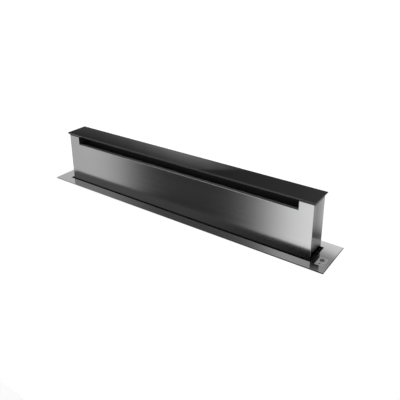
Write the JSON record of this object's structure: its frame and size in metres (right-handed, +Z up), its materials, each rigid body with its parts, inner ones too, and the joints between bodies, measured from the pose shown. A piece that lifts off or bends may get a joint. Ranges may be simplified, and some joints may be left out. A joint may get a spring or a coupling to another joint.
{
  "type": "downdraft vent",
  "caption": "Pop-up downdraft vent: a slim brushed-steel tower with a black glass cap rises from a worktop flange above a chassis with its lift and blower.",
  "frame": {"origin": "centre of the flange, on the worktop's surface (the underside of the gasket)", "axes": "+X along the vent to its right-hand end with the buttons, +Y to the back, +Z up; the tower is drawn raised"},
  "size_m": [0.9, 0.3012, 0.6245],
  "materials": {
    "flange_steel": "brushed stainless steel, grain along the flange",
    "tower_steel": "brushed stainless steel, satin",
    "black_glass": "polished black toughened glass, opaque",
    "black_rubber": "matt black rubber and foam",
    "black_sheet": "satin black paint on steel sheet",
    "filter_aluminium": "bright mesh in a folded frame",
    "galvanised_sheet": "galvanised sheet with faint spangle",
    "zinc_screws": "bright zinc plate",
    "ground_shaft_steel": "ground steel",
    "gear_steel": "cut steel, lightly oiled",
    "nylon": "natural nylon",
    "bronze": "sintered bronze",
    "motor_paint": "dark grey paint",
    "motor_can": "nickel plated steel can",
    "black_plastic": "moulded black plastic",
    "flap_aluminium": "plain mill sheet",
    "plate_steel": "fine satin plate",
    "button_black": "dark gloss button",
    "button_chrome": "satin chrome button",
    "lens": "dark lens, unlit",
    "circuit_board": "green board with dark parts"
  },
  "bodies": {
    "chassis": {"counter_flange": "flange_steel", "flange_gasket": "black_rubber", "cap_seat": "black_rubber", "chassis_front": "galvanised_sheet", "chassis_back": "galvanised_sheet", "chassis_end_left": "galvanised_sheet", "chassis_end_right": "galvanised_sheet", "chassis_base": "galvanised_sheet", "housing_screws": "zinc_screws", "guide_rails": "galvanised_sheet", "clamp_brackets": "galvanised_sheet", "clamp_screws": "zinc_screws", "foot_brackets": "galvanised_sheet", "shaft_bearings": "bronze", "lift_gearbox": "motor_paint", "lift_motor": "motor_can", "motor_bracket": "galvanised_sheet", "position_sensors": "black_plastic", "blower_housing": "galvanised_sheet", "blower_cover": "galvanised_sheet", "inlet_ring": "black_plastic", "blower_motor": "motor_paint", "outlet_transition": "galvanised_sheet", "duct_collar": "galvanised_sheet", "damper_pin": "ground_shaft_steel", "control_plate": "plate_steel", "indicator_lens": "lens", "switch_module": "black_plastic", "control_box": "black_plastic", "control_box_lid": "black_plastic", "control_board": "circuit_board", "cable_gland": "black_plastic", "wiring": "black_plastic"},
    "tower": {"front_panel": "tower_steel", "rear_panel": "tower_steel", "end_panel_left": "tower_steel", "end_panel_right": "tower_steel", "glass_cap": "black_glass", "cap_tray": "black_sheet", "intake_channel": "black_sheet", "grease_filter_left": "filter_aluminium", "grease_filter_right": "filter_aluminium", "tower_base_frame": "galvanised_sheet", "tower_rivets": "zinc_screws", "guide_shoes": "nylon", "rack_left": "gear_steel", "rack_right": "gear_steel"},
    "drive_train": {"drive_shaft": "ground_shaft_steel", "rack_pinion_left": "gear_steel", "rack_pinion_right": "gear_steel", "driven_gear": "nylon"},
    "motor_drive": {"motor_gear": "gear_steel", "gearbox_shaft": "ground_shaft_steel"},
    "fan": {"impeller": "black_plastic", "impeller_blades": "black_plastic", "impeller_shaft": "ground_shaft_steel"},
    "front_flap": {"damper_flap_front": "flap_aluminium"},
    "rear_flap": {"damper_flap_rear": "flap_aluminium"},
    "power_key": {"power_button": "button_black"},
    "speed_key": {"speed_button": "button_chrome"}
  },
  "joints": [
    {"name": "tower_lift", "type": "slide", "parent": "chassis", "child": "tower", "axis": [0, 0, 1], "range_m": [-0.152, 0]},
    {"name": "drive_turn", "type": "hinge", "parent": "chassis", "child": "drive_train", "pos_m": [0, 0.0135, -0.24], "axis": [1, 0, 0], "range_deg": [0, 645.2]},
    {"name": "motor_turn", "type": "hinge", "parent": "chassis", "child": "motor_drive", "pos_m": [0, -0.008, -0.26302], "axis": [1, 0, 0], "range_deg": [-860.3, 0]},
    {"name": "fan_turn", "type": "hinge", "parent": "chassis", "child": "fan", "pos_m": [-0.06, 0, -0.28001], "axis": [0, 1, 0], "continuous": true},
    {"name": "rear_flap_swing", "type": "hinge", "parent": "chassis", "child": "rear_flap", "pos_m": [-0.291, -0.1232, -0.37711], "axis": [0, 0, 1], "range_deg": [0, 80], "stiffness_Nm_per_rad": 0.002, "springref_deg": -11.46},
    {"name": "front_flap_swing", "type": "hinge", "parent": "chassis", "child": "front_flap", "pos_m": [-0.291, -0.1232, -0.37711], "axis": [0, 0, 1], "range_deg": [-80, 0], "stiffness_Nm_per_rad": 0.002, "springref_deg": 11.46},
    {"name": "power_press", "type": "slide", "parent": "chassis", "child": "power_key", "axis": [0, 0, -1], "range_m": [0, 0.0015], "stiffness_N_per_m": 500, "springref_m": -0.001},
    {"name": "speed_press", "type": "slide", "parent": "chassis", "child": "speed_key", "axis": [0, 0, -1], "range_m": [0, 0.0015], "stiffness_N_per_m": 400, "springref_m": -0.001}
  ],
  "couplings": [
    {"joint": "drive_turn", "follows": "tower_lift", "rad_per_m": -74.074},
    {"joint": "motor_turn", "follows": "tower_lift", "rad_per_m": 98.765}
  ]
}
